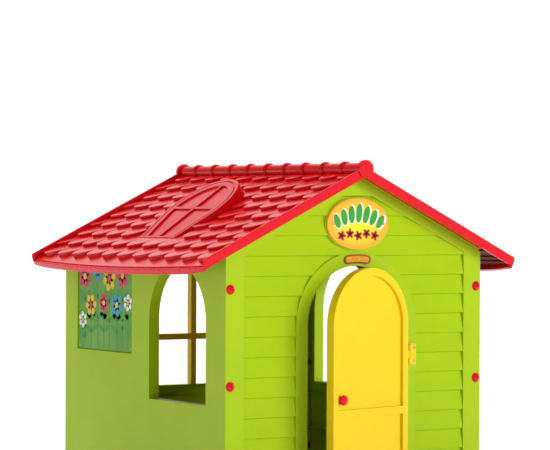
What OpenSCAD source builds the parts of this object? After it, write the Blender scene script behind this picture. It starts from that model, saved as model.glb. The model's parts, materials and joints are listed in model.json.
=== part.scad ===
// Children's plastic playhouse: four moulded wall panels, a two-slope tiled roof with a ridge
// tube, and one arched door that swings outwards.
// Frame: X to the right, Y into the house, Z up. The origin lies on the ground, under the
// middle of the doorway and in the middle of the front wall's thickness.

/* [House] */
// Width over the two side walls
house_w = 1050; // [950:10:1150]
// Depth over the front and back walls
house_d = 1120; // [1000:10:1200]
// Depth of each wall panel, over its flanges
wall_t = 40; // [36:1:48]
// Thickness of the moulded plastic
skin = 3; // [2.5:0.5:4]

/* [Roof] */
// Height of the roof planes where they meet over the ridge
apex_z = 1191.5; // [1150:0.5:1220]
// Pitch of each roof slope in degrees
pitch = 26; // [22:0.5:28]
// Length of the roof along the ridge
roof_l = 1220; // [1180:10:1280]
// Distance from the ridge to the eave at its corners, measured along the slope
eave_u = 720; // [700:5:760]
// How far the middle of the eave bows out past its corners
eave_bow = 36; // [6:1:44]
// Number of tile courses on a slope
courses = 9; // [6:1:9]

/* [Doorway] */
// Radius of the doorway arch, which is half the doorway's width
door_r = 200; // [180:5:210]
// Height of the centre of the doorway arch
arch_z = 648; // [600:2:660]
// Height of the threshold under the doorway
threshold_h = 36; // [30:1:60]
// Width of the raised band around the doorway
band_w = 46; // [40:1:50]

/* [Windows] */
// Radius of a side window's arch, which is half its width
side_win_r = 190; // [160:5:200]
// Height of the centre of a window's arch
win_arch_z = 658; // [640:2:670]
// Height of the window sills
sill_z = 380; // [340:10:440]
// Distance of the left window's centre behind the front wall's middle
side_win_y = 297; // [280:1:320]

/* [Door] */
// Gap all round between the door and the doorway
door_gap = 7; // [5:1:10]
// Thickness of the door
door_t = 31; // [26:1:36]
// How far the closed door's face stands in front of the wall
door_proud = 23; // [20:1:26]
// Angle at which the door stands open at rest, in degrees
ajar = 14.5; // [0:0.5:60]

/* [Hidden] */
$fn = 48;

// Frame of the house
front_y = -wall_t / 2;
back_y = front_y + house_d;
mid_y = front_y + house_d / 2;
inner_front_y = wall_t / 2;
inner_back_y = back_y - wall_t;
half_w = house_w / 2;

// Roof: u runs down a slope from the ridge and w stands square to it, both from the apex
tip_pitch = 76.8;
first_tip = 69.9;
course_start = -30;
tile_low = -32;
tile_high = -21;
tile_draft = 2;
verge_t = 12;
verge_drop = 38;
eave_top = -29;
eave_bottom = -51;
fascia_t = 5;
lip_w = 11;
eave_r = (pow(roof_l / 2, 2) + pow(eave_bow, 2)) / (2 * eave_bow);
corner_r = 24;
ridge_slit = 1;
wall_top_w = -38;

// Ridge tube
ridge_z = 1177;
tube_r = 21;
tube_bore_r = 17;
collar_r = 27;
collar_w = 14;
collar_count = 9;
disc_r = 31;
disc_t = 8;
notch_r = disc_r + 1;

// Ridge beam and its screws
ridge_screw_u = 40;
ridge_screw_ys = [120, 400, 680, 960];
screw_r = 2;
screw_tip_w = -30.5;
beam_top_w = -36;
beam_t = 6;
beam_u = 92;
keel_w = 10;
keel_z = 1112;

// Wall relief
board_w = 72;
rake_w = 30;
plank_h = 67.6;
plank_top_z = 1086;
plank_dip = 10;
lip_t = 3;
rib_t = 3;
rib_inset = 10;
gable_rib_z = 905;
door_rib_x = door_r + 60;
side_rib_ys = [540, 1030];
side_rib_zs = [200, 330];

// Sign and plates
sign_a = 126;
sign_b = 88;
sign_z = 990;
sign_t = 6;
sign_rivet_x = 104;
boss_gap = 4;
plate_mid_r = door_r + band_w / 2;
plate_half_deg = 10;
plate_h = 31;
plate_t = 5;

// Fasteners
bolt_x = half_w - 18;
bolt_zs = [130, 450, 772];
bolt_r = 5;
bolt_clear = 0.3;
bolt_head_r = 17;
bolt_head_h = 10;
nut_r = 11;
nut_h = 9;

// Picture panels
picture_w = 400;
picture_h = 320;
picture_z = 530;
picture_y = 809;
picture_dip = 7;
picture_t = 3;

// Door and its hinges
leaf_r = door_r - door_gap;
leaf_bottom = threshold_h + door_gap;
leaf_front_y = front_y - door_proud;
leaf_back_y = leaf_front_y + door_t;
door_rim = 26;
door_dip = 10;
back_t = 3;
door_mid_z = 352;
door_screw_zs = [62, 352, 640];
hinge_x = door_r + 12;
hinge_y = front_y - 12;
hinge_zs = [140, 540];
pin_r = 4;
pin_clear = 0.05;
knuckle_r = 10;
knuckle_h = 20;
bracket_screw_r = 2;
bracket_screw_l = 12;
ear_h = 23;
ear_gap = 0.5;
knob_x = -150;
knob_z = 400;

// Dormer relief
dormer_base_x = 462;
dormer_base_z = 935;
dormer_pitch = 34.6;
dormer_base_half = 116;
dormer_r = 172;
dormer_c = 194;
dormer_pin_u = 330;
dormer_pin_v = 100;
dormer_pin_r = 4;
pin_depth = 16;
dormer_boss_r = 8;

// ---------- helpers ----------

// Turns a flat outline in X and Z into a slab from y0 to y1
module slab_y(y0, y1) {
    translate([0, y1, 0]) rotate([90, 0, 0]) linear_extrude(y1 - y0) children();
}

// Turns a flat outline in Y and Z into a slab from x0 to x1
module slab_x(x0, x1) {
    translate([x0, 0, 0]) rotate([90, 0, 90]) linear_extrude(x1 - x0) children();
}

// Places roof coordinates (u, along the ridge, w) into the house
module on_slope() {
    translate([0, 0, apex_z]) rotate([0, pitch, 0]) children();
}

module left_half() {
    mirror([1, 0, 0]) children();
}

// Height of a plane that lies w off the roof plane, at distance x from the ridge
function roof_z(w, x) = apex_z + w / cos(pitch) - tan(pitch) * x;

// Doorway or window outline with its arch radius r grown by g
module arch(r, cz, bottom, g = 0) {
    translate([0, cz]) circle(r + g, $fn = 96);
    translate([-r - g, bottom - g]) square([2 * (r + g), cz - bottom + g]);
}

function oval(a, b, n = 60) = [for (i = [0:n - 1]) [a * cos(360 * i / n), b * sin(360 * i / n)]];

// ---------- gable walls ----------

// Outline of a gable wall, drawn in by d on every edge
module gable_outline(d = 0) {
    w = half_w - d;
    top_w = wall_top_w - d;
    polygon([[-w, d], [w, d], [w, roof_z(top_w, w)], [0, roof_z(top_w, 0)], [-w, roof_z(top_w, w)]]);
}

// The field of planks, grown by g: everything inside the corner boards and the rakes,
// but not the flat places that the children outline
module plank_field(g) {
    x = half_w - board_w + g;
    top_w = wall_top_w - rake_w + g;
    top_z = plank_top_z + g;
    top_x = (roof_z(top_w, 0) - top_z) / tan(pitch);
    difference() {
        polygon([
            [-x, threshold_h - g], [x, threshold_h - g],
            [x, roof_z(top_w, x)], [top_x, top_z], [-top_x, top_z], [-x, roof_z(top_w, x)]
        ]);
        children();
    }
}

// Overlapping planks as one thin sheet: each plank leans in towards its top
module plank_sheet() {
    n = ceil(plank_top_z / plank_h);
    top = plank_top_z + plank_h;
    outer = [for (i = [0:n]) for (k = [0, 1])
        k == 0 ? [front_y + plank_dip, top - i * plank_h - 1] : [front_y + 1, top - (i + 1) * plank_h]];
    inner = [for (i = [len(outer) - 1:-1:0]) outer[i] + [skin, skin / 2]];
    slab_x(-half_w, half_w) polygon(concat(outer, inner));
}

// Holes for the corner bolts through a gable wall
module corner_holes(y0, y1) {
    for (x = [-bolt_x, bolt_x]) for (z = bolt_zs)
        translate([x, y0, z]) rotate([-90, 0, 0]) cylinder(h = y1 - y0, r = bolt_r + bolt_clear);
}

// A gable wall with a door or window opening; boss is true where the oval sign sits
module gable_wall(bottom, cz, boss) {
    module opening(g = 0) {
        arch(door_r, cz, bottom, g);
    }
    module kept_flat(g = 0) {
        opening(band_w - g);
        if (boss) translate([0, sign_z]) polygon(oval(sign_a + boss_gap - g, sign_b + boss_gap - g));
    }
    difference() {
        union() {
            slab_y(front_y, front_y + skin) difference() {
                gable_outline();
                plank_field(0) kept_flat();
            }
            slab_y(front_y, front_y + plank_dip + skin) difference() {
                plank_field(lip_t) kept_flat(lip_t);
                plank_field(0) kept_flat();
            }
            intersection() {
                plank_sheet();
                slab_y(front_y - 1, front_y + wall_t) plank_field(1) kept_flat(1);
            }
            slab_y(front_y, front_y + wall_t) difference() {
                gable_outline();
                gable_outline(skin);
            }
            slab_y(front_y, front_y + wall_t) intersection() {
                gable_outline();
                difference() {
                    opening(skin);
                    opening();
                }
            }
            wall_ribs(bottom);
        }
        slab_y(front_y - 1, front_y + wall_t + 1) opening();
        corner_holes(front_y - 1, front_y + wall_t + 1);
    }
}

// Stiffening ribs on the inner side of a gable wall, and the pads behind its bolts
module wall_ribs(bottom) {
    rib_y0 = front_y + plank_dip + skin - 1;
    rib_y1 = front_y + wall_t - rib_inset;
    x_rib = half_w - board_w - 6;
    slab_y(rib_y0, rib_y1) {
        for (s = [-1, 1]) {
            translate([s * x_rib - rib_t / 2, skin]) square([rib_t, roof_z(wall_top_w, x_rib) - 2 * skin]);
            translate([s * door_rib_x - rib_t / 2, skin])
                square([rib_t, roof_z(wall_top_w, door_rib_x) - 2 * skin]);
        }
        translate([-half_w + skin, gable_rib_z]) square([house_w - 2 * skin, rib_t]);
    }
    for (x = [-bolt_x, bolt_x]) for (z = bolt_zs)
        translate([x, front_y, z]) rotate([-90, 0, 0]) cylinder(h = wall_t, r = nut_r);
}

module front_wall() {
    color("yellowgreen") difference() {
        gable_wall(threshold_h, arch_z, true);
        for (z = hinge_zs) bracket_screw_places(z) cylinder(h = 20, r = bracket_screw_r);
    }
}

module back_wall() {
    color("yellowgreen") translate([0, 2 * mid_y, 0]) rotate([0, 0, 180]) gable_wall(sill_z, win_arch_z, false);
}

// ---------- side walls ----------

// Outline of a side wall in Y and Z, drawn in by d
module side_outline(d = 0) {
    y0 = inner_front_y + d;
    translate([y0, d]) square([inner_back_y - d - y0, roof_z(wall_top_w, half_w) - 2 * d]);
}

module side_window(g = 0) {
    translate([side_win_y, 0]) arch(side_win_r, win_arch_z, sill_z, g);
}

module picture_field(g = 0) {
    translate([picture_y - picture_w / 2 - g, picture_z - g]) square([picture_w + 2 * g, picture_h + 2 * g]);
}

// The left wall: a flat skin outside, flanges and ribs inside, an arched window near the
// front and a sunk field for the picture panel behind it
module side_wall() {
    x0 = -half_w;
    difference() {
        union() {
            slab_x(x0, x0 + skin) difference() {
                side_outline();
                picture_field();
            }
            slab_x(x0, x0 + picture_dip + skin) difference() {
                picture_field(lip_t);
                picture_field();
            }
            slab_x(x0 + picture_dip, x0 + picture_dip + skin) picture_field(1);
            slab_x(x0, x0 + wall_t) difference() {
                side_outline();
                side_outline(skin);
            }
            slab_x(x0, x0 + wall_t) difference() {
                side_window(skin);
                side_window();
            }
            side_ribs(x0);
        }
        slab_x(x0 - 1, x0 + wall_t + 1) side_window();
        for (y = [inner_front_y - 1, inner_back_y - skin - 1]) for (z = bolt_zs)
            translate([-bolt_x, y, z]) rotate([-90, 0, 0])
                cylinder(h = skin + 2, r = bolt_r + bolt_clear);
    }
}

module side_ribs(x0) {
    slab_x(x0 + skin - 1, x0 + wall_t - rib_inset) {
        for (y = side_rib_ys) translate([y, skin])
            square([rib_t, roof_z(wall_top_w, half_w) - 2 * skin]);
        for (z = side_rib_zs) translate([inner_front_y + skin, z])
            square([inner_back_y - inner_front_y - 2 * skin, rib_t]);
    }
}

module left_wall() {
    color("olivedrab") side_wall();
}

module right_wall() {
    color("olivedrab") about_centre() side_wall();
}

// Half a turn about the house's vertical centre line
module about_centre() {
    translate([0, 2 * mid_y, 0]) rotate([0, 0, 180]) children();
}

// ---------- roof ----------

// Outline of a roof slope in u and along the ridge, drawn in by d at the eave and verges
module slope_outline(d = 0) {
    v0 = mid_y - roof_l / 2 + d;
    v1 = mid_y + roof_l / 2 - d;
    far_u = eave_u + eave_bow;
    difference() {
        intersection() {
            translate([-40, v0]) square([far_u + 60, v1 - v0]);
            translate([far_u - eave_r, mid_y]) circle(eave_r - d, $fn = 200);
        }
        for (s = [-1, 1]) translate([eave_u - corner_r + 1, mid_y + s * (roof_l / 2 - corner_r)])
            difference() {
                translate([0, s > 0 ? 0 : -60]) square([60, 60]);
                circle(corner_r - d, $fn = 64);
            }
    }
}

// Tile courses as one thin sheet that steps down at the tip of each course
module course_sheet() {
    last_tip = first_tip + (courses - 1) * tip_pitch;
    top = concat(
        [[course_start, tile_low]],
        [for (i = [0:courses - 1]) for (k = [0, 1])
            k == 0 ? [first_tip + i * tip_pitch, tile_high] : [first_tip + i * tip_pitch + tile_draft, tile_low]],
        [[last_tip + 90, tile_low]]
    );
    below = [for (i = [len(top) - 1:-1:0]) top[i] - [3, skin]];
    translate([0, mid_y + roof_l / 2 - 2, 0]) rotate([90, 0, 0])
        linear_extrude(roof_l - 4) polygon(concat(top, below));
}

// The right-hand roof panel: tile sheet, raised verge boards, eave fascia with its lip
module roof_panel() {
    difference() {
        on_slope() {
            intersection() {
                course_sheet();
                translate([0, 0, -60]) linear_extrude(80) slope_outline(2);
            }
            translate([0, 0, -verge_drop]) linear_extrude(verge_drop) verge_boards();
            translate([0, 0, eave_bottom]) linear_extrude(eave_top - eave_bottom) eave_strip(fascia_t);
            translate([0, 0, eave_top - skin]) linear_extrude(skin) eave_strip(lip_w);
            translate([0, 0, tile_low - skin]) linear_extrude(eave_top - tile_low + skin) difference() {
                eave_strip(lip_w);
                eave_strip(lip_w - skin);
            }
        }
        translate([-100 + ridge_slit / 2, mid_y - roof_l, 900]) cube([100, 2 * roof_l, 400]);
        for (y = [mid_y - roof_l / 2 - 1, mid_y + roof_l / 2 - verge_t - 1])
            translate([0, y, ridge_z]) rotate([-90, 0, 0]) cylinder(h = verge_t + 2, r = notch_r);
        ridge_screw_places() translate([0, 0, beam_top_w - 1])
            cylinder(h = screw_tip_w - beam_top_w + 1, r = screw_r);
        dormer_pin_places() cylinder(h = 2 * pin_depth, r = dormer_pin_r, center = true);
    }
}

// The strips along the two verges
module verge_boards() {
    difference() {
        slope_outline();
        translate([-60, mid_y - roof_l / 2 + verge_t]) square([eave_u + 160, roof_l - 2 * verge_t]);
    }
}

// The strip of width d along the eave
module eave_strip(d) {
    difference() {
        slope_outline();
        slope_outline(d);
        translate([-60, mid_y - roof_l]) square([eave_u - 90, 2 * roof_l]);
    }
}

module roof_right() {
    color("firebrick") roof_panel();
}

module roof_left() {
    color("firebrick") left_half() roof_panel();
}

// ---------- ridge ----------

// Height of the saddle that the first courses of both slopes make under the tube, just clear
// of them, at distance x from the ridge
function saddle_z(x) =
    let (
        rise = (tile_high - tile_low) / (first_tip - course_start),
        top_x = course_start * cos(pitch) + tile_low * sin(pitch),
        top_z = apex_z - course_start * sin(pitch) + tile_low * cos(pitch)
    )
    top_z - tan(pitch - atan(rise)) * (x - top_x) + 0.3;

module ridge_beam() {
    wing_x = beam_u * cos(pitch);
    low = beam_top_w - beam_t;
    keel_half = keel_w / 2;
    color("darkred") difference() {
        union() {
            slab_y(inner_front_y + 1, inner_back_y - 1) polygon([
                [0, roof_z(beam_top_w, 0)], [wing_x, roof_z(beam_top_w, wing_x)],
                [wing_x, roof_z(low, wing_x)], [0, roof_z(low, 0)],
                [-wing_x, roof_z(low, wing_x)], [-wing_x, roof_z(beam_top_w, wing_x)]
            ]);
            slab_y(inner_front_y + 1, inner_back_y - 1) polygon([
                [-keel_half, keel_z], [keel_half, keel_z],
                [keel_half, roof_z(low, keel_half) + 1], [-keel_half, roof_z(low, keel_half) + 1]
            ]);
        }
        for (s = [0, 1]) mirror([s, 0, 0])
            ridge_screw_places() translate([0, 0, low - 1]) cylinder(h = beam_t + 2, r = screw_r);
    }
}

module ridge_tube() {
    y0 = mid_y - roof_l / 2 + disc_t;
    y1 = mid_y + roof_l / 2 - disc_t;
    step = roof_l / (collar_count + 1);
    color("firebrick") difference() {
        union() {
            translate([0, y0, ridge_z]) rotate([-90, 0, 0]) cylinder(h = y1 - y0, r = tube_r);
            for (i = [1:collar_count])
                translate([0, mid_y - roof_l / 2 + i * step - collar_w / 2, ridge_z]) rotate([-90, 0, 0])
                    cylinder(h = collar_w, r = collar_r);
        }
        translate([0, y0 - 1, ridge_z]) rotate([-90, 0, 0]) cylinder(h = y1 - y0 + 2, r = tube_bore_r);
        slab_y(y0 - 1, y1 + 1) polygon([[-60, saddle_z(60)], [0, saddle_z(0)], [60, saddle_z(60)],
            [60, saddle_z(60) - 40], [-60, saddle_z(60) - 40]]);
    }
}

module ridge_disc() {
    plug_l = 24;
    translate([0, mid_y - roof_l / 2, ridge_z]) rotate([-90, 0, 0]) {
        cylinder(h = disc_t, r = disc_r);
        cylinder(h = disc_t + plug_l, r = tube_bore_r - 1);
    }
}

module ridge_disc_front() {
    color("red") ridge_disc();
}

module ridge_disc_back() {
    color("red") about_centre() ridge_disc();
}

// ---------- dormer reliefs ----------

// Outline of a dormer's face: straight foot, then a round head; p runs up its slope
module dormer_outline(d = 0) {
    hull() {
        translate([0, dormer_c]) circle(dormer_r - d, $fn = 72);
        translate([-dormer_base_half + d, d]) square([2 * (dormer_base_half - d), 2]);
    }
}

// Places a dormer's face outline: X across the slope, Y up the face, Z out of it
module on_dormer_face() {
    translate([dormer_base_x, mid_y, dormer_base_z]) rotate([0, dormer_pitch, 0]) rotate([0, 0, 90]) children();
}

// The right-hand dormer: a hollow wedge that stands out of the slope towards the ridge,
// with two bosses inside for its pins
module dormer() {
    reach = dormer_c + dormer_r;
    depth = 110;
    difference() {
        union() {
            on_dormer_face() {
                translate([0, 0, -depth]) linear_extrude(depth) difference() {
                    dormer_outline();
                    dormer_outline(skin);
                }
                translate([0, 0, -skin]) linear_extrude(skin) dormer_outline();
            }
            intersection() {
                dormer_pin_places() cylinder(h = 100, r = dormer_boss_r, center = true);
                on_dormer_face() translate([0, 0, -depth - 1]) linear_extrude(depth)
                    translate([-reach, 0]) square(2 * reach);
            }
        }
        on_slope() translate([-100, mid_y - reach, -200]) cube([900, 2 * reach, 200 + tile_high + 0.5]);
        dormer_pin_places() cylinder(h = 2 * pin_depth, r = dormer_pin_r, center = true);
    }
}

module dormer_right() {
    color("indianred") dormer();
}

module dormer_left() {
    color("indianred") left_half() dormer();
}

// The two places on the right-hand slope where its dormer is pinned, at tile height
module dormer_pin_places() {
    for (v = [-dormer_pin_v, dormer_pin_v]) on_slope() translate([dormer_pin_u, mid_y + v, tile_high]) children();
}

// Pins pushed up from under the slopes into the dormers' bosses
module dormer_pins() {
    foot = tile_low - tile_high - skin - 1;
    color("darkred") for (s = [0, 1]) mirror([s, 0, 0]) dormer_pin_places() {
        translate([0, 0, foot]) cylinder(h = pin_depth - foot - 0.5, r = dormer_pin_r);
        translate([0, 0, foot - 2]) cylinder(h = 2, r = 2 * dormer_pin_r);
    }
}

// ---------- signs and pictures ----------

module gable_sign() {
    color("gold") slab_y(front_y - sign_t, front_y) translate([0, sign_z]) difference() {
        polygon(oval(sign_a, sign_b));
        for (s = [-1, 1]) translate([s * sign_rivet_x, 0]) circle(2);
    }
}

// Two small rivets that hold the sign to its boss
module sign_rivets() {
    color("orange") for (s = [-1, 1]) translate([s * sign_rivet_x, front_y - sign_t - 2, sign_z])
        rotate([-90, 0, 0]) {
            cylinder(h = 2, r = 4);
            cylinder(h = sign_t + 2, r = 2);
        }
}

// Curved plate on the band over the doorway
module arch_plate() {
    end_r = plate_h / 2;
    color("goldenrod") slab_y(front_y - plate_t, front_y) translate([0, arch_z]) {
        difference() {
            intersection() {
                circle(plate_mid_r + end_r, $fn = 128);
                polygon([[0, 0], [400 * sin(plate_half_deg), 400 * cos(plate_half_deg)],
                    [-400 * sin(plate_half_deg), 400 * cos(plate_half_deg)]]);
            }
            circle(plate_mid_r - end_r, $fn = 128);
        }
        for (s = [-1, 1]) rotate(s * plate_half_deg) translate([0, plate_mid_r]) circle(end_r);
    }
}

module picture_panel() {
    gap = 1.5;
    x0 = -half_w + picture_dip - picture_t;
    slab_x(x0, x0 + picture_t) difference() {
        picture_field(-gap);
        picture_corners() circle(2);
    }
}

module picture_corners() {
    inset = 14;
    for (y = [picture_y - picture_w / 2 + inset, picture_y + picture_w / 2 - inset])
        for (z = [picture_z + inset, picture_z + picture_h - inset])
            translate([y, z]) children();
}

module picture_panel_left() {
    color("mediumseagreen") picture_panel();
}

module picture_panel_right() {
    color("mediumseagreen") about_centre() picture_panel();
}

module picture_rivet_set() {
    x0 = -half_w + picture_dip - picture_t;
    slab_x(x0 - 1.5, x0) picture_corners() circle(4);
    slab_x(x0, x0 + picture_t) picture_corners() circle(2);
}

// Four small rivets in each picture panel
module picture_rivets() {
    color("green") {
        picture_rivet_set();
        about_centre() picture_rivet_set();
    }
}

// ---------- back window ----------

// Cross of glazing bars that clips into the back window
module back_window_cross() {
    bar_w = 22;
    bar_t = 28;
    gap = 0.5;
    bar_z = 560;
    y0 = mid_y + house_d / 2 - wall_t + 4;
    color("gold") slab_y(y0, y0 + bar_t) intersection() {
        arch(door_r, win_arch_z, sill_z, -gap);
        union() {
            translate([-bar_w / 2, sill_z]) square([bar_w, 600]);
            translate([-door_r, bar_z - bar_w / 2]) square([2 * door_r, bar_w]);
        }
    }
}

// ---------- fasteners ----------

// One red moulded bolt with a domed head, along +Y from the wall's face at y = 0
module corner_bolt() {
    dome_r = (pow(bolt_head_r, 2) + pow(bolt_head_h, 2)) / (2 * bolt_head_h);
    rotate([-90, 0, 0]) {
        difference() {
            intersection() {
                translate([0, 0, dome_r - bolt_head_h]) sphere(dome_r, $fn = 64);
                translate([0, 0, -bolt_head_h - 1]) cylinder(h = bolt_head_h + 1, r = bolt_head_r);
            }
            translate([0, 0, -bolt_head_h - 1]) cylinder(h = 5, r = 4.5, $fn = 6);
        }
        cylinder(h = wall_t + skin + nut_h + 2, r = bolt_r);
    }
}

module corner_nut() {
    translate([0, wall_t + skin, 0]) rotate([-90, 0, 0]) difference() {
        cylinder(h = nut_h, r = nut_r, $fn = 6);
        translate([0, 0, -1]) cylinder(h = nut_h + 2, r = bolt_r);
    }
}

// Every place where a gable wall is bolted to a side wall
module corner_places() {
    for (turned = [false, true]) translate([0, turned ? 2 * mid_y : 0, 0]) rotate([0, 0, turned ? 180 : 0])
        for (x = [-bolt_x, bolt_x]) for (z = bolt_zs) translate([x, front_y, z]) children();
}

module corner_bolts() {
    color("red") corner_places() corner_bolt();
}

module corner_nuts() {
    color("darkred") corner_places() corner_nut();
}

// Where the ridge beam is screwed to the right-hand slope
module ridge_screw_places() {
    for (y = ridge_screw_ys) on_slope() translate([ridge_screw_u, y, 0]) children();
}

// Screws from below through the ridge beam into both slopes
module roof_screws() {
    head_w = beam_top_w - beam_t;
    color("silver") for (s = [0, 1]) mirror([s, 0, 0]) ridge_screw_places() {
        translate([0, 0, head_w]) cylinder(h = screw_tip_w - head_w, r = screw_r);
        translate([0, 0, head_w - 3]) cylinder(h = 3, r = 5);
    }
}

// ---------- door ----------

// Turns the closed door to the angle at which it stands at rest
module at_rest() {
    translate([hinge_x, hinge_y, 0]) rotate([0, 0, ajar]) translate([-hinge_x, -hinge_y, 0]) children();
}

// Outline of the closed door, drawn in by d
module leaf(d = 0) {
    arch(leaf_r, arch_z, leaf_bottom, -d);
}

// The two sunk fields of the door: an arched one above and a square one below
module sunk_fields(g = 0) {
    r = leaf_r - door_rim;
    arch(r, arch_z, door_mid_z + door_rim / 2, g);
    translate([-r - g, leaf_bottom + door_rim - g])
        square([2 * (r + g), door_mid_z - leaf_bottom - 1.5 * door_rim + 2 * g]);
}

// The ears on the door that turn on the hinge pins
module door_ears() {
    for (z = hinge_zs) difference() {
        translate([0, 0, z - ear_h / 2]) {
            translate([hinge_x, hinge_y, 0]) cylinder(h = ear_h, r = knuckle_r - 1);
            translate([leaf_r - 6, hinge_y - 5, 0]) cube([hinge_x - leaf_r + 6, 10, ear_h]);
        }
        translate([hinge_x, hinge_y, z - ear_h]) cylinder(h = 2 * ear_h, r = pin_r + pin_clear);
    }
}

module knob_hole(r) {
    translate([knob_x, leaf_front_y - 50, knob_z]) rotate([-90, 0, 0]) cylinder(h = 150, r = r);
}

// The door's outer shell: rim, two sunk fields, side walls and ears
module door_shell() {
    color("gold") at_rest() difference() {
        union() {
            slab_y(leaf_front_y, leaf_front_y + skin) difference() {
                leaf();
                sunk_fields();
            }
            slab_y(leaf_front_y, leaf_front_y + door_dip + skin) difference() {
                sunk_fields(lip_t);
                sunk_fields();
            }
            slab_y(leaf_front_y + door_dip, leaf_front_y + door_dip + skin) sunk_fields(1);
            slab_y(leaf_front_y, leaf_back_y - back_t) difference() {
                leaf();
                leaf(skin);
            }
            knob_posts();
            door_ears();
        }
        knob_hole(4);
        door_screw_places(leaf_front_y + skin) cylinder(h = door_t, r = 1.5);
    }
}

// Hollow posts inside the door: one for the knob bolt and six for the back's screws
module knob_posts() {
    translate([knob_x, leaf_front_y + door_dip, knob_z]) rotate([-90, 0, 0])
        cylinder(h = door_t - door_dip - back_t, r = 9);
    door_screw_places(leaf_front_y + 1) cylinder(h = door_t - back_t - 1, r = 5);
}

// Where the back is screwed to the shell, each pointing along +Y from height y
module door_screw_places(y) {
    for (s = [-1, 1]) for (z = door_screw_zs)
        translate([s * (leaf_r - door_rim / 2), y, z]) rotate([-90, 0, 0]) children();
}

// The flat back of the door
module door_back() {
    color("khaki") at_rest() difference() {
        slab_y(leaf_back_y - back_t, leaf_back_y) leaf(0);
        knob_hole(4);
        door_screw_places(leaf_back_y - door_t) cylinder(h = 2 * door_t, r = 1.5);
    }
}

// Small screws that hold the back to the shell
module door_screws() {
    color("silver") at_rest() door_screw_places(leaf_back_y - 14) {
        cylinder(h = 14, r = 1.5);
        translate([0, 0, 14]) cylinder(h = 1.6, r = 3.5);
    }
}

// A round pull knob that stands h off a face, along -Y from y
module pull_knob(y, side) {
    neck = 9;
    translate([knob_x, y, knob_z]) rotate([90 * side, 0, 0]) difference() {
        rotate_extrude() polygon([[0, 0], [14, 0], [11, 3], [9, neck], [15, neck + 3],
            [18, neck + 8], [16, neck + 13], [10, neck + 16], [0, neck + 17]]);
        translate([0, 0, -1]) cylinder(h = 15, r = 4);
    }
}

module door_knob_outer() {
    color("red") at_rest() pull_knob(leaf_front_y + door_dip, 1);
}

module door_knob_inner() {
    color("red") at_rest() pull_knob(leaf_back_y, -1);
}

// The rod that joins the two knobs through the door
module knob_bolt() {
    reach = 13;
    color("silver") at_rest() translate([knob_x, leaf_front_y + door_dip - reach, knob_z])
        rotate([-90, 0, 0]) cylinder(h = door_t - door_dip + 2 * reach, r = 4);
}

// ---------- hinges on the wall ----------

// A bracket on the doorway band with a knuckle above and a knuckle below the door's ear
module hinge_bracket(z) {
    plate_x0 = hinge_x + 6;
    plate_x1 = hinge_x + 34;
    plate_y = front_y - 4;
    difference() {
        union() {
            translate([plate_x0, plate_y, z - 36]) cube([plate_x1 - plate_x0, 4, 72]);
            for (s = [-1, 1]) translate([0, 0, z + s * (ear_h / 2 + ear_gap + knuckle_h / 2) - knuckle_h / 2]) {
                translate([hinge_x, hinge_y, 0]) cylinder(h = knuckle_h, r = knuckle_r);
                translate([hinge_x, hinge_y, 0]) cube([knuckle_r + 6, plate_y - hinge_y + 1, knuckle_h]);
            }
        }
        translate([hinge_x, hinge_y, z - 60]) cylinder(h = 120, r = pin_r);
        bracket_screw_places(z) cylinder(h = 20, r = bracket_screw_r);
    }
}

module bracket_screw_places(z) {
    for (s = [-1, 1]) translate([hinge_x + 27, front_y - 6, z + s * 22]) rotate([-90, 0, 0]) children();
}

module hinge_bracket_upper() {
    color("gold") hinge_bracket(hinge_zs[1]);
}

module hinge_bracket_lower() {
    color("gold") hinge_bracket(hinge_zs[0]);
}

// A hinge pin with a round head on top, pressed into its bracket
module hinge_pin(z) {
    half = ear_h / 2 + ear_gap + knuckle_h;
    translate([hinge_x, hinge_y, z - half]) cylinder(h = 2 * half, r = pin_r);
    translate([hinge_x, hinge_y, z + half]) cylinder(h = 3, r = pin_r + 2.5);
}

module hinge_pin_upper() {
    color("silver") hinge_pin(hinge_zs[1]);
}

module hinge_pin_lower() {
    color("silver") hinge_pin(hinge_zs[0]);
}

module bracket_screws() {
    color("silver") for (z = hinge_zs) bracket_screw_places(z) {
        cylinder(h = bracket_screw_l, r = bracket_screw_r);
        cylinder(h = 2, r = 2 * bracket_screw_r);
    }
}

front_wall();
back_wall();
left_wall();
right_wall();
roof_left();
roof_right();
ridge_beam();
ridge_tube();
ridge_disc_front();
ridge_disc_back();
dormer_left();
dormer_right();
gable_sign();
arch_plate();
picture_panel_left();
picture_panel_right();
back_window_cross();
corner_bolts();
corner_nuts();
roof_screws();
dormer_pins();
sign_rivets();
picture_rivets();
hinge_bracket_upper();
hinge_bracket_lower();
hinge_pin_upper();
hinge_pin_lower();
bracket_screws();
door_shell();
door_back();
door_knob_outer();
door_knob_inner();
knob_bolt();
door_screws();
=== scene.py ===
import json
import math

import bmesh
import bpy
from mathutils import Matrix, Vector


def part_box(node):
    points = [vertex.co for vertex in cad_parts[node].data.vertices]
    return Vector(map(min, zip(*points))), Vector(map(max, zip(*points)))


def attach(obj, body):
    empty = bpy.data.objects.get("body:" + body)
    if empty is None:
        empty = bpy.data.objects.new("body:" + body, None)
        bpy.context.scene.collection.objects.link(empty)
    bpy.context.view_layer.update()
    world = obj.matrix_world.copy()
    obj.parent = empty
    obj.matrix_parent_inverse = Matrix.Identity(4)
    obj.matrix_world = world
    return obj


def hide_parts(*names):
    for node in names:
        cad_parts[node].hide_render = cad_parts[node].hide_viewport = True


# A plastic playhouse in metres: X to the right, Y into the house, Z up. The CAD walls and the door
# stay and get their materials; the roof, its dormers, the signs and the pictures are made here.

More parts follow.
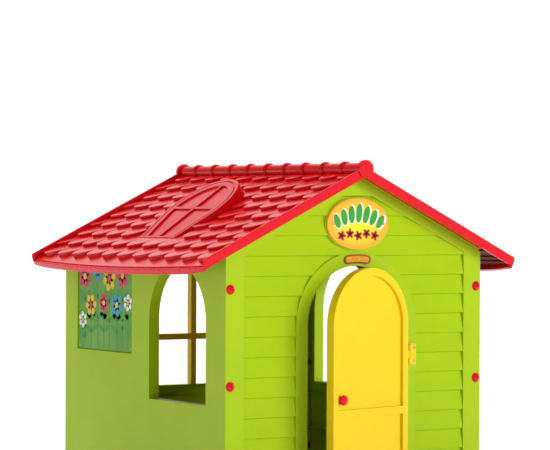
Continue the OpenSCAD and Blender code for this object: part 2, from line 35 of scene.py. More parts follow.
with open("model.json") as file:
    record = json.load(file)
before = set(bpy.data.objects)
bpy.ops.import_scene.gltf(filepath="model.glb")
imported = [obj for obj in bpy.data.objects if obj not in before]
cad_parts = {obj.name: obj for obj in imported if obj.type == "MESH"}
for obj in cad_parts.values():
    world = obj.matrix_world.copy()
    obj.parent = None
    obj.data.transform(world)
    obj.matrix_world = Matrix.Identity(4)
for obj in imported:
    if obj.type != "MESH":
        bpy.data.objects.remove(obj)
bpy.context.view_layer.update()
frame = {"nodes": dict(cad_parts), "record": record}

# ---------- places taken from the frame ----------

ROOF_LOW, ROOF_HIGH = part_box("roof_left")
Y0 = ROOF_LOW.y
Y1 = ROOF_HIGH.y
MID_Y = (Y0 + Y1) / 2
FRONT_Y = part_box("front_wall")[0].y
BACK_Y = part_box("back_wall")[1].y

# ---------- roof measures ----------
# On a slope, u runs down from the ridge line, y along it and w square out of the slope.

PITCH = math.radians(26)
APEX_Z = 1.1915
EAVE_U = 0.726
EAVE_BOW = 0.030
CORNER_R = 0.013
VERGE_TOP = -0.006
VERGE_BOTTOM = -0.038
EAVE_TOP = -0.0305
EAVE_BOTTOM = -0.051
RIM_T = 0.011
RIM_EDGE_R = 0.003
RIM_GAP = 0.0008
RIM_TOP_U = 0.016
RIM_DROP = 0.10
SHEET_W = -0.027
SHEET_T = 0.003
SHEET_BOTTOM = SHEET_W - SHEET_T
SHEET_EDGE_R = 0.0012
FIELD_TOP_U = 0.013
FIELD_VERGE = 0.009
FIELD_EAVE = 0.0095
STATIONS = 40
SOFFIT_W = -0.0355
SOFFIT_TOP_U = 0.606
SOFFIT_RIBS = (0.648, 0.684)
RIDGE_Z = 1.177

TILE_ROWS = 9
TILE_PITCH = 0.109
ROW_PITCH = 0.0768
LOWEST_TIP = 0.694
TILE_RIM = 0.0125
TILE_H = 0.0165
TILE_B = 0.062
TILE_FALL = 0.098
TILE_REACH = 5
SUNK = 0.001

# The tiles that the dormer stands on are left out: their places in each of its rows
UNDER_DORMER = {2: (-1, 0, 1), 3: (-1, 0), 4: (-1, 0, 1)}


# ---------- flat outlines ----------

def ellipse(a, b, count):
    """Points of an ellipse, counter-clockwise."""
    turns = [2 * math.pi * i / count for i in range(count)]
    return [Vector((a * math.cos(t), b * math.sin(t))) for t in turns]


def inset(outline, d):
    """A counter-clockwise outline drawn in by d."""
    result = []
    for before, here, after in zip(outline[-1:] + outline[:-1], outline, outline[1:] + outline[:1]):
        first = (here - before).normalized()
        second = (after - here).normalized()
        n0 = Vector((-first.y, first.x))
        n1 = Vector((-second.y, second.x))
        result.append(here + (n0 + n1) * (d / (1 + n0.dot(n1))))
    return result


def rounded(corners, r, steps=5):
    """A counter-clockwise polygon with each corner rounded to radius r."""
    result = []
    for before, here, after in zip(corners[-1:] + corners[:-1], corners, corners[1:] + corners[:1]):
        to_before = (Vector(before) - Vector(here)).normalized()
        to_after = (Vector(after) - Vector(here)).normalized()
        half = to_before.angle(to_after) / 2
        centre = Vector(here) + (to_before + to_after).normalized() * (r / math.sin(half))
        start = Vector(here) + to_before * (r / math.tan(half)) - centre
        sweep = math.pi - 2 * half
        for i in range(steps + 1):
            a = sweep * i / steps
            turned = Vector((
                start.x * math.cos(a) - start.y * math.sin(a),
                start.x * math.sin(a) + start.y * math.cos(a),
            ))
            result.append(centre + turned)
    return result


def petal(length, width, turn, at, count=20):
    """A leaf or petal from its foot at `at`, pointing along the angle turn."""
    result = []
    for i in range(count):
        t = 2 * math.pi * i / count
        along = length * (1 - math.cos(t)) / 2
        across = -width / 2 * math.sin(t)
        result.append(Vector((
            at[0] + along * math.cos(turn) + across * math.sin(turn),
            at[1] + along * math.sin(turn) - across * math.cos(turn),
        )))
    return result


def round_edge(d, top, r, steps=4):
    """Profile points (inset, height) that round an outer edge over into a flat top."""
    turns = [math.pi / 2 * i / steps for i in range(steps + 1)]
    return [(d + r * (1 - math.cos(t)), top - r + r * math.sin(t)) for t in turns]


def round_in(d, top, r, steps=3):
    """Profile points (inset, height) that round a flat top over into a drop further in."""
    turns = [math.pi / 2 * i / steps for i in range(steps + 1)]
    return [(d + r * math.sin(t), top - r + r * math.cos(t)) for t in turns]


# ---------- shells ----------

class Shells:
    """Closed shells gathered into one piece."""

    def __init__(self):
        self.points = []
        self.faces = []

    def loft(self, rings, wrap=False):
        """A skin through closed rings of points, capped at both ends unless it wraps round."""
        base = len(self.points)
        size = len(rings[0])
        for ring in rings:
            self.points.extend(ring)
        spans = len(rings) if wrap else len(rings) - 1
        for i in range(spans):
            a = base + i * size
            b = base + (i + 1) % len(rings) * size
            for j in range(size):
                k = (j + 1) % size
                self.faces.append((a + j, a + k, b + k, b + j))
        if not wrap:
            self.faces.append(tuple(range(base + size - 1, base - 1, -1)))
            last = base + (len(rings) - 1) * size
            self.faces.append(tuple(range(last, last + size)))

    def profile(self, outline, steps, place):
        """A plate: the outline drawn in by each step's inset at each step's height."""
        self.loft([[place(p.x, p.y, z) for p in inset(outline, d)] for d, z in steps])

    def plate(self, outline, bottom, top, r, place):
        """A plate with a rounded upper edge."""
        self.profile(outline, [(0, bottom)] + round_edge(0, top, r), place)

    def band(self, outline, width, bottom, top, r, place):
        """A raised band of the given width just inside an outline."""
        steps = [(0, bottom)] + round_edge(0, top, r) + round_in(width - r, top, r) + [(width, bottom)]
        self.loft([[place(p.x, p.y, z) for p in inset(outline, d)] for d, z in steps], wrap=True)

    def lathe(self, profile, place, count):
        """A turned shape from (radius, height) pairs that starts and ends with a flat face."""
        turns = [2 * math.pi * i / count for i in range(count)]
        self.loft([[place(r * math.cos(t), r * math.sin(t), z) for t in turns] for r, z in profile])

    def piece(self, name, material, slot, body="house", replaces=(), sharp=38):
        """Makes the shells an object that rides on a body; edges steeper than sharp stay hard."""
        mesh = bpy.data.meshes.new(name)
        mesh.from_pydata([tuple(p) for p in self.points], [], self.faces)
        shape = bmesh.new()
        shape.from_mesh(mesh)
        bmesh.ops.recalc_face_normals(shape, faces=shape.faces)
        shape.to_mesh(mesh)
        shape.free()
        mesh.polygons.foreach_set("use_smooth", [True] * len(mesh.polygons))
        mesh.set_sharp_from_angle(angle=math.radians(sharp))
        mesh.materials.append(material)
        obj = bpy.data.objects.new(name, mesh)
        bpy.context.scene.collection.objects.link(obj)
        weighted = obj.modifiers.new("even_shading", "WEIGHTED_NORMAL")
        weighted.keep_sharp = True
        if replaces:
            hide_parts(*replaces)
        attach(obj, body)


# ---------- materials ----------

def plastic(name, colour, shade, roughness=0.3, grain=0.12, mottle=0.35, scale=9.0, specular=0.5):
    """Moulded plastic: soft changes of tone, a fine moulded grain and uneven gloss."""
    material = bpy.data.materials.new(name)
    material.use_nodes = True
    nodes = material.node_tree.nodes
    links = material.node_tree.links
    surface = nodes["Principled BSDF"]
    surface.inputs["Specular IOR Level"].default_value = specular
    place = nodes.new("ShaderNodeTexCoord")

    clouds = nodes.new("ShaderNodeTexNoise")
    clouds.inputs["Scale"].default_value = scale
    clouds.inputs["Detail"].default_value = 3.0
    links.new(place.outputs["Object"], clouds.inputs["Vector"])
    tone = nodes.new("ShaderNodeMix")
    tone.data_type = "RGBA"
    tone.inputs["A"].default_value = (*colour, 1)
    tone.inputs["B"].default_value = (*shade, 1)
    amount = nodes.new("ShaderNodeMapRange")
    amount.inputs["From Min"].default_value = 0.35
    amount.inputs["From Max"].default_value = 0.75
    amount.inputs["To Max"].default_value = mottle
    links.new(clouds.outputs["Fac"], amount.inputs["Value"])
    links.new(amount.outputs["Result"], tone.inputs["Factor"])
    links.new(tone.outputs["Result"], surface.inputs["Base Color"])

    gloss = nodes.new("ShaderNodeMapRange")
    gloss.inputs["To Min"].default_value = roughness - 0.05
    gloss.inputs["To Max"].default_value = roughness + 0.08
    links.new(clouds.outputs["Fac"], gloss.inputs["Value"])
    links.new(gloss.outputs["Result"], surface.inputs["Roughness"])

    pores = nodes.new("ShaderNodeTexNoise")
    pores.inputs["Scale"].default_value = 900.0
    pores.inputs["Detail"].default_value = 2.0
    links.new(place.outputs["Object"], pores.inputs["Vector"])
    bump = nodes.new("ShaderNodeBump")
    bump.inputs["Strength"].default_value = grain
    bump.inputs["Distance"].default_value = 0.0004
    links.new(pores.outputs["Fac"], bump.inputs["Height"])
    links.new(bump.outputs["Normal"], surface.inputs["Normal"])
    return material


def steel(name):
    """Zinc-plated steel with fine turning marks."""
    material = plastic(name, (0.62, 0.63, 0.66), (0.42, 0.43, 0.46), roughness=0.3, grain=0.3, scale=60)
    material.node_tree.nodes["Principled BSDF"].inputs["Metallic"].default_value = 1.0
    return material


def sign_face(name, centre_y, centre_z):
    """A printed oval: clear yellow in the middle, orange towards its edge."""
    material = plastic(name, (1.0, 0.78, 0.03), (1.0, 0.70, 0.02), roughness=0.28, grain=0.05)
    nodes = material.node_tree.nodes
    links = material.node_tree.links
    place = nodes.new("ShaderNodeTexCoord")
    shift = nodes.new("ShaderNodeMapping")
    shift.inputs["Location"].default_value = (0, -centre_y, -centre_z / SIGN_B)
    shift.inputs["Scale"].default_value = (1 / SIGN_A, 1, 1 / SIGN_B)
    links.new(place.outputs["Object"], shift.inputs["Vector"])
    distance = nodes.new("ShaderNodeVectorMath")
    distance.operation = "LENGTH"
    links.new(shift.outputs["Vector"], distance.inputs[0])
    ramp = nodes.new("ShaderNodeValToRGB")
    ramp.color_ramp.elements[0].position = 0.30
    ramp.color_ramp.elements[0].color = (1.0, 0.86, 0.02, 1)
    ramp.color_ramp.elements[1].position = 0.98
    ramp.color_ramp.elements[1].color = (1.0, 0.42, 0.03, 1)
    links.new(distance.outputs["Value"], ramp.inputs["Fac"])
    links.new(ramp.outputs["Color"], nodes["Principled BSDF"].inputs["Base Color"])
    return material


GREEN = plastic("green_plastic", (0.40, 0.58, 0.005), (0.33, 0.53, 0.006), roughness=0.4, specular=0.3)
RED_ROOF = plastic("roof_red_plastic", (0.68, 0.003, 0.005), (0.58, 0.002, 0.004), roughness=0.2)
RED_TRIM = plastic(
    "bright_red_plastic", (0.74, 0.008, 0.018), (0.66, 0.006, 0.014), roughness=0.26, specular=0.3)
# The eave's underside is the same red plastic as the roof; its darker colour here is painted shade, standing
# in for the shade under the eave.
PAINTED_SHADE_RED = plastic(
    "roof_underside_painted_shade", (0.15, 0.002, 0.003), (0.11, 0.002, 0.003), roughness=0.5, specular=0.15)
YELLOW = plastic("yellow_plastic", (0.90, 0.62, 0.008), (0.84, 0.54, 0.007), roughness=0.4, specular=0.3)
GOLD = plastic("gold_plastic", (0.82, 0.40, 0.015), (0.62, 0.22, 0.010), roughness=0.3, mottle=0.8, scale=40)
BROWN = plastic("brown_plastic", (0.36, 0.10, 0.012), (0.26, 0.07, 0.010), roughness=0.34)
LEAF = plastic("leaf_print", (0.05, 0.36, 0.03), (0.03, 0.26, 0.02), roughness=0.35, scale=30)
WHITE = plastic("white_print", (0.92, 0.92, 0.90), (0.84, 0.85, 0.84), roughness=0.35)
BERRY = plastic("berry_print", (0.40, 0.012, 0.03), (0.28, 0.01, 0.02), roughness=0.35, scale=30)
MEADOW = plastic("meadow_print", (0.16, 0.42, 0.03), (0.09, 0.30, 0.02), roughness=0.4, scale=16, mottle=0.8)
BLUE = plastic("blue_print", (0.05, 0.36, 0.62), (0.03, 0.22, 0.50), roughness=0.4, scale=40)
LEMON = plastic("lemon_print", (0.85, 0.62, 0.02), (0.80, 0.40, 0.02), roughness=0.4, scale=40)
PINK = plastic("pink_print", (0.72, 0.03, 0.12), (0.55, 0.02, 0.08), roughness=0.4, scale=40)
STEEL = steel("zinc_steel")


# ---------- roof ----------

def on_slope(side):
    """Turns slope coordinates into the house's, for the left (-1) or the right (1) slope."""
    def place(u, y, w):
        x = u * math.cos(PITCH) + w * math.sin(PITCH)
        return Vector((side * x, y, APEX_Z - u * math.sin(PITCH) + w * math.cos(PITCH)))
    return place


def eave_at(y):
    """Distance of the bowed eave from the ridge, at y."""
    reach = (Y1 - Y0) / 2 - CORNER_R
    return EAVE_U + EAVE_BOW * (1 - min(1, abs(y - MID_Y) / reach) ** 2)


def tile(shells, place, tip_u, mid, s_from=-1, s_to=1):
    """One scale-shaped tile, or half of one: a dome that ends in a short upright rim below."""
    half = TILE_PITCH / 2
    length = min(TILE_FALL - 0.003, tip_u - FIELD_TOP_U)
    columns = 8 * (s_to - s_from)
    rows = 12

    def dome(p, s):
        rho = math.hypot(s, max(0.0, 1 - p / TILE_B))
        return math.sqrt(max(0.0, 1 - min(1.0, rho) ** 6))

    grid = []
    for j in range(columns + 1):
        turn = math.asin(s_from) + (math.asin(s_to) - math.asin(s_from)) * j / columns
        s = max(-1.0, min(1.0, math.sin(turn)))
        first = TILE_B * (1 - math.sqrt(1 - s * s))
        line = [place(tip_u - first, mid + s * half, SHEET_W - SUNK)]
        for i in range(rows + 1):
            p = first + (length - first) * (i / rows) ** 1.9
            w = SHEET_W + (TILE_RIM + (TILE_H - TILE_RIM) * dome(p, s)) * (1 - p / TILE_FALL)
            line.append(place(tip_u - p, mid + s * half, w))
        line.append(place(tip_u - length, mid + s * half, SHEET_W - SUNK))
        grid.append(line)
    shells.loft(grid)


def rim_section(bottom, top):
    """The rim's closed section (inset, height), its two upper edges rounded."""
    outer = round_edge(0, top, RIM_EDGE_R, 3)
    inner = round_in(RIM_T - RIM_EDGE_R, top, RIM_EDGE_R)
    return [(0, bottom)] + outer + inner + [(RIM_T, bottom)]


def rim_path():
    """Points along a slope's outer edge: (u, y, outward normal, share of the way to the eave)."""
    path = []
    bend = EAVE_U - CORNER_R
    parts = 8
    for i in range(parts + 1):
        path.append((RIM_TOP_U + (bend - RIM_TOP_U) * i / parts, Y0 + RIM_GAP, (0, -1), 0.0))
    for i in range(1, parts):
        a = math.pi / 2 * i / parts
        u = EAVE_U - CORNER_R + CORNER_R * math.sin(a)
        path.append((u, Y0 + CORNER_R - CORNER_R * math.cos(a), (math.sin(a), -math.cos(a)), i / parts))
    corner = path[:]
    count = 36
    for i in range(count + 1):
        y = Y0 + CORNER_R + (Y1 - Y0 - 2 * CORNER_R) * i / count
        lean = 4 * EAVE_BOW * (y - MID_Y) / (Y1 - Y0) ** 2 * 2
        size = math.hypot(1, lean)
        path.append((eave_at(y), y, (1 / size, lean / size), 1.0))
    mirror = [(u, Y0 + Y1 - y, (n[0], -n[1]), e) for u, y, n, e in corner]
    return path + mirror[::-1]


def build_rim(side):
    """Verge boards and bowed eave fascia of one slope, as one rounded rim."""
    place = on_slope(side)
    shells = Shells()
    rings = []
    for u, y, (nu, ny), e in rim_path():
        blend = e * e * (3 - 2 * e)
        top = VERGE_TOP + (EAVE_TOP - VERGE_TOP) * blend
        along = max(0.0, min(1.0, (y - Y0) / RIM_DROP, (Y1 - y) / RIM_DROP))
        bottom = VERGE_BOTTOM + (EAVE_BOTTOM - VERGE_BOTTOM) * (blend + along) / 2
        rings.append([place(u - nu * d, y - ny * d, w) for d, w in rim_section(bottom, top)])
    shells.loft(rings)
    name = "roof_rim_left" if side < 0 else "roof_rim_right"
    shells.piece(name, RED_TRIM, "trim_red")


def build_slope(side):
    """One slope: a sheet with its tiles, none under the dormer, and a ribbed sheet under the eave."""
    place = on_slope(side)
    shells = Shells()
    inner0 = Y0 + FIELD_VERGE
    inner1 = Y1 - FIELD_VERGE
    stations = [inner0 + (inner1 - inner0) * i / STATIONS for i in range(STATIONS + 1)]
    lip_t = 0.004
    lip_w = SHEET_BOTTOM - 0.002

    def sheet_section(y):
        end = eave_at(y) - FIELD_EAVE
        return [
            place(FIELD_TOP_U, y, SHEET_BOTTOM), place(FIELD_TOP_U, y, SHEET_W),
            place(end - SHEET_EDGE_R, y, SHEET_W), place(end, y, SHEET_W - SHEET_EDGE_R),
            place(end, y, lip_w), place(end - lip_t, y, lip_w), place(end - lip_t, y, SHEET_BOTTOM),
        ]

    shells.loft([sheet_section(y) for y in stations])
    half = TILE_PITCH / 2
    for row in range(TILE_ROWS):
        tip = LOWEST_TIP - row * ROW_PITCH
        if row % 2 == 0:
            for i in range(-TILE_REACH, TILE_REACH + 1):
                if i not in UNDER_DORMER.get(row, ()):
                    tile(shells, place, tip, MID_Y + i * TILE_PITCH)
        else:
            for i in range(-TILE_REACH, TILE_REACH):
                if i not in UNDER_DORMER.get(row, ()):
                    tile(shells, place, tip, MID_Y + half + i * TILE_PITCH)
            last = (2 * TILE_REACH + 1) * half
            tile(shells, place, tip, MID_Y - last, 0, 1)
            tile(shells, place, tip, MID_Y + last, -1, 0)
    node = "roof_left" if side < 0 else "roof_right"
    shells.piece(node.replace("roof", "roof_tiles"), RED_ROOF, "roof_red", replaces=[node])
    build_soffit(node.replace("roof", "roof_soffit"), place, stations)


def build_soffit(name, place, stations):
    """The sheet that closes the eave's underside, with two ribs along it; its dark red is painted shade."""
    soffit = Shells()
    short = FIELD_EAVE + 0.006
    soffit.loft([[
        place(SOFFIT_TOP_U, y, SOFFIT_W), place(SOFFIT_TOP_U, y, SHEET_BOTTOM),
        place(eave_at(y) - short, y, SHEET_BOTTOM), place(eave_at(y) - short, y, SOFFIT_W),
    ] for y in stations])
    root = SOFFIT_W + SUNK
    crest = SOFFIT_W - 0.005
    ends = (stations[0] + 0.002, stations[-1] - 0.002)
    for u in SOFFIT_RIBS:
        section = [(u - 0.005, root), (u - 0.002, crest), (u + 0.002, crest), (u + 0.005, root)]
        soffit.loft([[place(a, y, w) for a, w in section] for y in ends])
    soffit.piece(name, PAINTED_SHADE_RED, "roof_red")


def build_gable_lips():
    """The thin upper edge of each gable wall, close under the tile sheet."""
    lip_t = 0.012
    from_u, to_u = 0.020, 0.595
    low, high = -0.0395, -0.0305
    section = [(from_u, low), (from_u, high), (to_u, high), (to_u, low)]
    for name, y0, y1 in (("front", FRONT_Y, FRONT_Y + lip_t), ("back", BACK_Y - lip_t, BACK_Y)):
        lips = Shells()
        for side in (-1, 1):
            place = on_slope(side)
            lips.loft([[place(u, y, w) for u, w in section] for y in (y0, y1)])
        lips.piece(f"gable_lip_{name}", GREEN, "wall_green")


def along_ridge(x, z, y):
    """Across, up from and along the axis of the ridge tube."""
    return Vector((x, y, RIDGE_Z + z))


def build_ridge():
    """Ridge tube with a double bead at each collar, and its two end discs."""
    collars = 9
    tube_r = 0.021
    short = 0.008
    step = (Y1 - Y0) / (collars + 1)
    beads = [
        (tube_r, -0.0085), (0.0238, -0.0082), (0.0258, -0.0068), (0.0264, -0.0045),
        (0.0258, -0.0022), (0.0242, -0.0010), (0.0242, 0.0005), (0.0262, 0.0018),
        (0.0270, 0.0042), (0.0262, 0.0068), (0.0238, 0.0080), (tube_r, 0.0086),
    ]
    profile = [(tube_r, Y0 + short)]
    for i in range(1, collars + 1):
        profile += [(r, Y0 + i * step + along) for r, along in beads]
    profile.append((tube_r, Y1 - short))
    tube = Shells()
    tube.lathe(profile, along_ridge, 56)
    tube.piece("ridge_tube_beads", RED_ROOF, "roof_red", replaces=["ridge_tube"], sharp=50)
    disc_r = 0.0305
    disc_t = 0.013
    edge = 0.0024
    spigot_r = 0.0165
    spigot_l = 0.025
    turns = [math.pi / 2 * i / 4 for i in range(4, -1, -1)]
    outline = [(disc_r - edge + edge * math.cos(t), edge - edge * math.sin(t)) for t in turns]
    outline += [(disc_r, disc_t), (spigot_r, disc_t), (spigot_r, disc_t + spigot_l)]
    for name, y, out in (("front", Y0 - 0.005, 1), ("back", Y1, -1)):
        disc = Shells()
        disc.lathe([(a, y + out * h) for a, h in outline], along_ridge, 64)
        disc.piece(f"ridge_end_disc_{name}", RED_TRIM, "trim_red", replaces=[f"ridge_disc_{name}"])


# ---------- dormers ----------

# The foot of the face (x, z), its slant, half its foot's width, and its arch's radius and centre
DORMER_BASE = (0.467, 0.938)
DORMER_PITCH = math.radians(34.6)
DORMER_HALF = 0.116
DORMER_R = 0.172
DORMER_C = 0.194


def on_dormer(side):
    """Turns face coordinates (across, up the face, out of it) into the house's."""
    def place(x, y, z):
        out = DORMER_BASE[0] - y * math.cos(DORMER_PITCH) + z * math.sin(DORMER_PITCH)
        up = DORMER_BASE[1] + y * math.sin(DORMER_PITCH) + z * math.cos(DORMER_PITCH)
        return Vector((side * out, MID_Y - side * x, up))
    return place


def horseshoe(d, foot, count=40):
    """The dormer's outline drawn in by d, with its straight foot at the height foot."""
    reach = math.hypot(DORMER_HALF, DORMER_C)
    tangent = math.acos(DORMER_R / reach) - math.atan2(DORMER_C, DORMER_HALF)
    r = DORMER_R - d
    x = (r - (foot - DORMER_C) * math.sin(tangent)) / math.cos(tangent)
    points = [Vector((-x, foot)), Vector((x, foot))]
    for i in range(count + 1):
        a = tangent + (math.pi - 2 * tangent) * i / count
        points.append(Vector((r * math.cos(a), DORMER_C + r * math.sin(a))))
    return points


def build_dormer(side):
    """A raised window relief: rim, groove, frame and four sunk panes."""
    place = on_dormer(side)
    shells = Shells()
    cos_p, sin_p = math.cos(PITCH), math.sin(PITCH)
    fall = Vector((math.sin(DORMER_PITCH), 0, math.cos(DORMER_PITCH)))

    def to_sheet(x, y):
        """The face's point (x, y) dropped square to the face until it is just under the sheet."""
        top = place(x, y, 0)
        w = (top.z - APEX_Z) * cos_p + abs(top.x) * sin_p
        drop = (w - (SHEET_W - 0.002)) / (fall.x * sin_p + fall.z * cos_p)
        return place(x, y, -drop)

    pane_foot = 0.010
    pane_inset = 0.041
    rings = [[to_sheet(p.x, p.y) for p in horseshoe(0, 0)]]
    for d, z in round_edge(0, 0, 0.003, 4):
        rings.append([place(p.x, p.y, z) for p in horseshoe(d, d)])
    groove = [
        (0.0130, 0), (0.0138, -0.0008), (0.0142, -0.0045),
        (0.0186, -0.0045), (0.0190, -0.0008), (0.0198, 0),
    ]
    for d, z in groove:
        rings.append([place(p.x, p.y, z) for p in horseshoe(d, pane_foot)])
    sunk = [(0, 0), (0.0010, -0.0006), (0.0016, -0.0060)]
    for d, z in sunk:
        rings.append([place(p.x, p.y, z) for p in horseshoe(pane_inset + d, pane_foot + d)])
    shells.loft(rings)

    top = DORMER_C + DORMER_R - pane_inset
    bar = 0.0062
    cross = 0.185
    reach = DORMER_R - pane_inset + 0.0003
    low, high = pane_foot - SUNK, top + SUNK
    bars = [
        [(-bar, low), (bar, low), (bar, high), (-bar, high)],
        [(-reach, cross - bar), (reach, cross - bar), (reach, cross + bar), (-reach, cross + bar)],
    ]
    for corners in bars:
        outline = [Vector(c) for c in corners]
        shells.profile(outline, [(0, -0.007), (0, -0.0008), (0.0008, -0.0001)], place)
    name = "dormer_left" if side < 0 else "dormer_right"
    shells.piece(name + "_relief", RED_ROOF, "roof_red", replaces=[name], sharp=32)


# ---------- signs ----------

SIGN_A = 0.126
SIGN_B = 0.088
SIGN_Z = (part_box("gable_sign")[0].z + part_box("gable_sign")[1].z) / 2
SIGN_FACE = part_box("gable_sign")[0].y


def on_front(x0, y0, z0):
    """A flat place on the front: x to the right, y up, z out towards the viewer."""
    def place(x, y, z):
        return Vector((x0 + x, y0 - z, z0 + y))
    return place


def build_sign():
    """Oval sign with a printed fan of edged leaves over a row of small flowers."""
    depth = FRONT_Y - SIGN_FACE
    place = on_front(0, FRONT_Y, SIGN_Z)
    oval = Shells()
    oval.plate(ellipse(SIGN_A, SIGN_B, 96), 0, depth, 0.002, place)
    oval.piece("sign_oval", sign_face("sign_print", SIGN_FACE, SIGN_Z), "sign_print", replaces=["gable_sign"])

    ink = 0.0005
    soft = 0.0002
    root = depth - SUNK
    leaves = []
    for i in range(7):
        share = (i - 3) / 3
        foot = (0.078 * share, 0.004 - 0.018 * share * share)
        turn = math.radians(84 - 26 * share)
        leaves.append((foot, turn, 0.066 - 0.016 * abs(share)))
    backing = Shells()
    for (x, y), turn, length in leaves:
        border = petal(length + 0.007, 0.031, turn, (x + 0.003, y - 0.004))
        backing.plate(border, root, depth + ink, soft, place)
    backing.piece("sign_leaf_edges", WHITE, "sign_print")
    green = Shells()
    for (x, y), turn, length in leaves:
        green.plate(petal(length, 0.025, turn, (x, y)), root, depth + 2 * ink, soft, place)
    green.piece("sign_leaves", LEAF, "sign_print")
    bloom = Shells()
    for i in range(5):
        x = -0.068 + 0.034 * i
        y = -0.040 + 0.007 * (i % 2)
        for k in range(5):
            turn = 2 * math.pi * k / 5 + 0.3 * i
            bloom.plate(petal(0.0175, 0.0100, turn, (x, y)), root, depth + ink, soft, place)
    bloom.piece("sign_blooms", BERRY, "sign_print")


def arc_bar(radius, half_width, half_angle, end_steps=10, arc_steps=24):
    """Outline of a bar bent along an arc about the origin, with round ends."""
    points = []
    for i in range(arc_steps + 1):
        a = math.pi / 2 + half_angle - 2 * half_angle * i / arc_steps
        points.append(Vector(((radius + half_width) * math.cos(a), (radius + half_width) * math.sin(a))))
    for i in range(1, end_steps):
        a = math.pi / 2 - half_angle
        t = a - math.pi * i / end_steps
        centre = Vector((radius * math.cos(a), radius * math.sin(a)))
        points.append(centre + Vector((half_width * math.cos(t), half_width * math.sin(t))))
    for i in range(arc_steps + 1):
        a = math.pi / 2 - half_angle + 2 * half_angle * i / arc_steps
        points.append(Vector(((radius - half_width) * math.cos(a), (radius - half_width) * math.sin(a))))
    for i in range(1, end_steps):
        a = math.pi / 2 + half_angle
        t = a + math.pi - math.pi * i / end_steps
        centre = Vector((radius * math.cos(a), radius * math.sin(a)))
        points.append(centre + Vector((half_width * math.cos(t), half_width * math.sin(t))))
    return points[::-1]


def build_plate():
    """The small curved plate over the door: a brown rim round a gold field with plain studs."""
    depth = FRONT_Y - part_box("arch_plate")[0].y
    centre_z = 0.648
    radius = 0.223
    half_width = 0.0155
    place = on_front(0, FRONT_Y, centre_z)
    outline = arc_bar(radius, half_width, math.radians(10))
    rim = Shells()
    rim.band(outline, 0.0058, 0, depth, 0.0012, place)
    rim.piece("plate_rim", BROWN, "plate_gold", replaces=["arch_plate"])
    field = Shells()
    field.profile(inset(outline, 0.003), [(0, 0), (0, depth - 0.0022), (0.002, depth - 0.0014)], place)
    for i in range(-2, 3):
        a = math.radians(90 - 4.2 * i)
        x, y = radius * math.cos(a), radius * math.sin(a)
        bead = [Vector((x, y)) + p for p in ellipse(0.0052, 0.0052, 20)]
        field.profile(bead, [(0, 0), (0, depth - 0.0012), (0.0014, depth - 0.0004), (0.0032, depth)], place)
    field.piece("plate_field", GOLD, "plate_gold")


# ---------- picture panels ----------

# Each flower's place on the panel, its colour and the length of its petals
FLOWERS = [
    (-0.150, 0.262, "pink", 0.046), (-0.055, 0.282, "blue", 0.036), (0.030, 0.258, "lemon", 0.046),
    (0.125, 0.270, "pink", 0.044), (-0.105, 0.160, "lemon", 0.040), (-0.010, 0.170, "pink", 0.036),
    (0.085, 0.165, "blue", 0.042), (0.165, 0.175, "white", 0.030), (-0.165, 0.105, "white", 0.030),
]


def build_pictures():
    """Side pictures: a meadow panel with nine plain flowers and their leaves."""
    for node, side in (("picture_panel_left", -1), ("picture_panel_right", 1)):
        low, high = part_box(node)
        face = low.x if side < 0 else high.x
        mid_y = (low.y + high.y) / 2
        half_w = (high.y - low.y) / 2
        thick = high.x - low.x
        base_z = low.z
        tall = high.z - low.z

        def place(x, y, z, side=side, face=face, thick=thick, mid_y=mid_y, base_z=base_z):
            return Vector((face - side * (thick - z), mid_y + side * x, base_z + y))

        panel = Shells()
        corners = [(-half_w, 0), (half_w, 0), (half_w, tall), (-half_w, tall)]
        panel.plate(rounded([Vector(c) for c in corners], 0.006), 0, thick, 0.0008, place)
        panel.piece(node + "_board", MEADOW, "picture_print", replaces=[node])
        prints = {"blue": (Shells(), BLUE), "lemon": (Shells(), LEMON), "pink": (Shells(), PINK),
                  "leaf": (Shells(), LEAF), "white": (Shells(), WHITE)}

        def draw(colour, outline, layer=1):
            prints[colour][0].plate(outline, thick - SUNK, thick + 0.0004 * layer, 0.0001, place)

        for x, y, colour, size in FLOWERS:
            stem = ((x - 0.003, 0.012), (x + 0.003, 0.012), (x + 0.0025, y), (x - 0.0025, y))
            draw("leaf", [Vector(p) for p in stem])
            for turn, share in ((0.5, 0.40), (2.6, 0.40), (0.8, 0.66), (2.3, 0.66)):
                draw("leaf", petal(size * 1.2, size * 0.5, turn, (x, y * share)))
            for k in range(6):
                turn = 2 * math.pi * k / 6 + x * 9
                draw(colour, petal(size, size * 0.66, turn, (x, y)), 2)
            middle = [Vector((x, y)) + p for p in ellipse(size * 0.27, size * 0.27, 20)]
            draw("lemon" if colour != "lemon" else "pink", middle, 3)
        for colour, (shape, material) in prints.items():
            shape.piece(f"{node}_{colour}", material, "picture_print")


# ---------- carried-over CAD nodes ----------

def finish_nodes():
    """Materials and softened edges for the CAD nodes that stay visible."""
    # each slot's material and the width of its softened edges
    finishes = {
        "wall_green": (GREEN, 0.0016), "trim_red": (RED_TRIM, 0.0008), "roof_red": (RED_ROOF, 0.0008),
        "door_yellow": (YELLOW, 0.0018), "steel": (STEEL, 0.0003), "plate_gold": (GOLD, 0.0004),
        "sign_print": (YELLOW, 0.0005), "picture_print": (MEADOW, 0.0005),
    }
    slots = {row["node"]: row["material_slot"] for row in frame["record"]["subparts"]}
    for name, obj in frame["nodes"].items():
        material, edge = finishes[slots[name]]
        obj.data.materials.clear()
        obj.data.materials.append(material)
        if obj.hide_render:
            continue
        bevel = obj.modifiers.new("soft_edges", "BEVEL")
        bevel.width = edge
        bevel.segments = 2
        bevel.limit_method = "ANGLE"
        bevel.angle_limit = math.radians(40)
        weighted = obj.modifiers.new("even_shading", "WEIGHTED_NORMAL")
        weighted.keep_sharp = True


# ---------- camera, floor and lights ----------

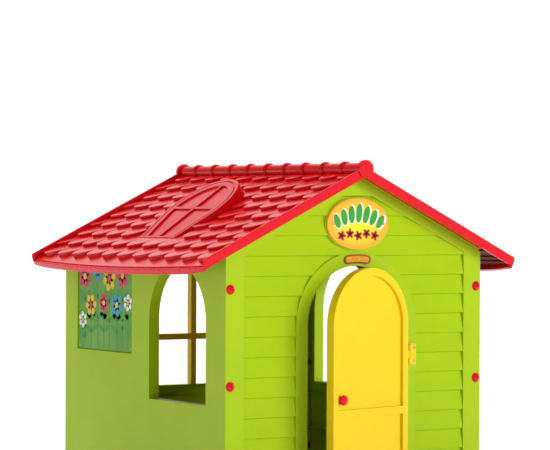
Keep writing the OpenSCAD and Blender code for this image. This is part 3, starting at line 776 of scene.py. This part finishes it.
def make_camera():
    """A long lens from the front left, level with the roof, looking very slightly down."""
    yaw = 0.5694
    pitch = -0.0061
    roll = 0.0043
    eye = (-5.0294, -7.3565, 1.0392)
    forward = Vector((math.sin(yaw) * math.cos(pitch), math.cos(yaw) * math.cos(pitch), math.sin(pitch)))
    level = Vector((math.cos(yaw), -math.sin(yaw), 0))
    right = level * math.cos(roll) + level.cross(forward) * math.sin(roll)
    up = right.cross(forward)
    data = bpy.data.cameras.new("camera")
    data.sensor_width = 36
    data.lens = 170.58
    data.clip_end = 200
    camera = bpy.data.objects.new("camera", data)
    axes = Matrix((right, up, -forward)).transposed()
    camera.matrix_world = Matrix.Translation(eye) @ axes.to_4x4()
    bpy.context.scene.collection.objects.link(camera)
    bpy.context.scene.camera = camera


def add_sun(name, towards, strength, spread):
    """A soft, very distant light that stands in the direction towards and shows in no gloss."""
    data = bpy.data.lights.new(name, "SUN")
    data.energy = strength
    data.angle = math.radians(spread)
    light = bpy.data.objects.new(name, data)
    light.rotation_euler = Vector(towards).to_track_quat("Z", "Y").to_euler()
    light.visible_glossy = False
    bpy.context.scene.collection.objects.link(light)


def make_world():
    """A dim studio, bright low behind the house where the glossy roof mirrors it; white when seen."""
    world = bpy.data.worlds.new("studio")
    world.use_nodes = True
    nodes = world.node_tree.nodes
    links = world.node_tree.links
    place = nodes.new("ShaderNodeTexCoord")
    facing = nodes.new("ShaderNodeVectorMath")
    facing.operation = "DOT_PRODUCT"
    facing.inputs[1].default_value = Vector((0.38, 0.92, 0.06)).normalized()
    links.new(place.outputs["Generated"], facing.inputs[0])
    wall = nodes.new("ShaderNodeMapRange")
    wall.interpolation_type = "SMOOTHSTEP"
    wall.inputs["From Min"].default_value = 0.76
    wall.inputs["From Max"].default_value = 0.92
    wall.inputs["To Min"].default_value = 0.20
    wall.inputs["To Max"].default_value = 1.0
    links.new(facing.outputs["Value"], wall.inputs["Value"])
    path = nodes.new("ShaderNodeLightPath")
    seen = nodes.new("ShaderNodeMath")
    seen.operation = "MAXIMUM"
    links.new(wall.outputs["Result"], seen.inputs[0])
    links.new(path.outputs["Is Camera Ray"], seen.inputs[1])
    links.new(seen.outputs["Value"], nodes["Background"].inputs["Strength"])
    nodes["Background"].inputs["Color"].default_value = (1, 1, 1, 1)
    bpy.context.scene.world = world


def make_stage():
    """Pale floor and three soft lights: front right, left and behind."""
    reach = 60
    mesh = bpy.data.meshes.new("floor")
    corners = [(-reach, -reach, 0), (reach, -reach, 0), (reach, reach, 0), (-reach, reach, 0)]
    mesh.from_pydata(corners, [], [(0, 1, 2, 3)])
    floor = bpy.data.objects.new("floor", mesh)
    bpy.context.scene.collection.objects.link(floor)
    pale = plastic("pale_floor", (0.86, 0.86, 0.86), (0.84, 0.84, 0.84), roughness=0.6, scale=0.6)
    mesh.materials.append(pale)
    make_world()
    bpy.context.scene.view_settings.view_transform = "Standard"
    add_sun("key", (0.55, -0.80, 0.24), 2.2, 30)
    add_sun("fill", (-0.90, -0.25, 0.30), 0.25, 50)
    add_sun("back", (0.02, 0.47, 0.88), 3.7, 30)


make_camera()
make_stage()
for slope in (-1, 1):
    build_slope(slope)
    build_rim(slope)
    build_dormer(slope)
build_gable_lips()
build_ridge()
build_sign()
build_plate()
build_pictures()
finish_nodes()
